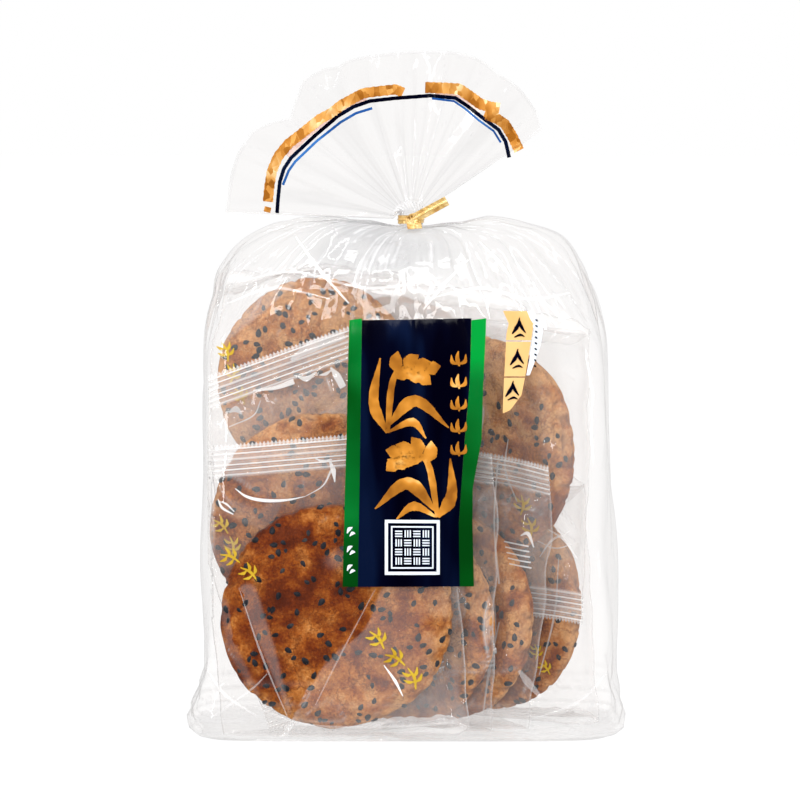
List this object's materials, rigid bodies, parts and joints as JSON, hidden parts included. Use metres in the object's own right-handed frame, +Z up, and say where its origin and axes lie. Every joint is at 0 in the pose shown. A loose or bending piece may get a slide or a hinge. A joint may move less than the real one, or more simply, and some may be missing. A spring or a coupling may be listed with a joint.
{
  "type": "bag of wrapped rice crackers",
  "caption": "Clear gusseted bag of individually wrapped sesame rice crackers, standing upright, neck closed by a gold twist tie with the mouth fanned out above it.",
  "frame": {"origin": "middle of the flat base, on the surface the bag stands on", "axes": "+Z up along the bag's height, +X to the bag's right as seen from the front, -Y towards the printed front"},
  "size_m": [0.1624, 0.091, 0.2608],
  "materials": {
    "clear_film": "thin clear glossy film, creased and pleated",
    "gold_foil": "glossy gold foil strip",
    "toasted_cracker": "toasted, soy-glazed rice dough, blistered and cracked",
    "black_sesame": "dull black seed",
    "wrapper_film": "thin clear wrapper with ridged crimps",
    "navy_print": "glossy navy ink on film",
    "green_print": "glossy green ink on film",
    "gold_print": "gold ink on film",
    "white_print": "white ink on film",
    "yellow_print": "mustard ink on the wrappers"
  },
  "bodies": {
    "root": {"bag": "clear_film", "tie": "gold_foil"}
  },
  "joints": []
}
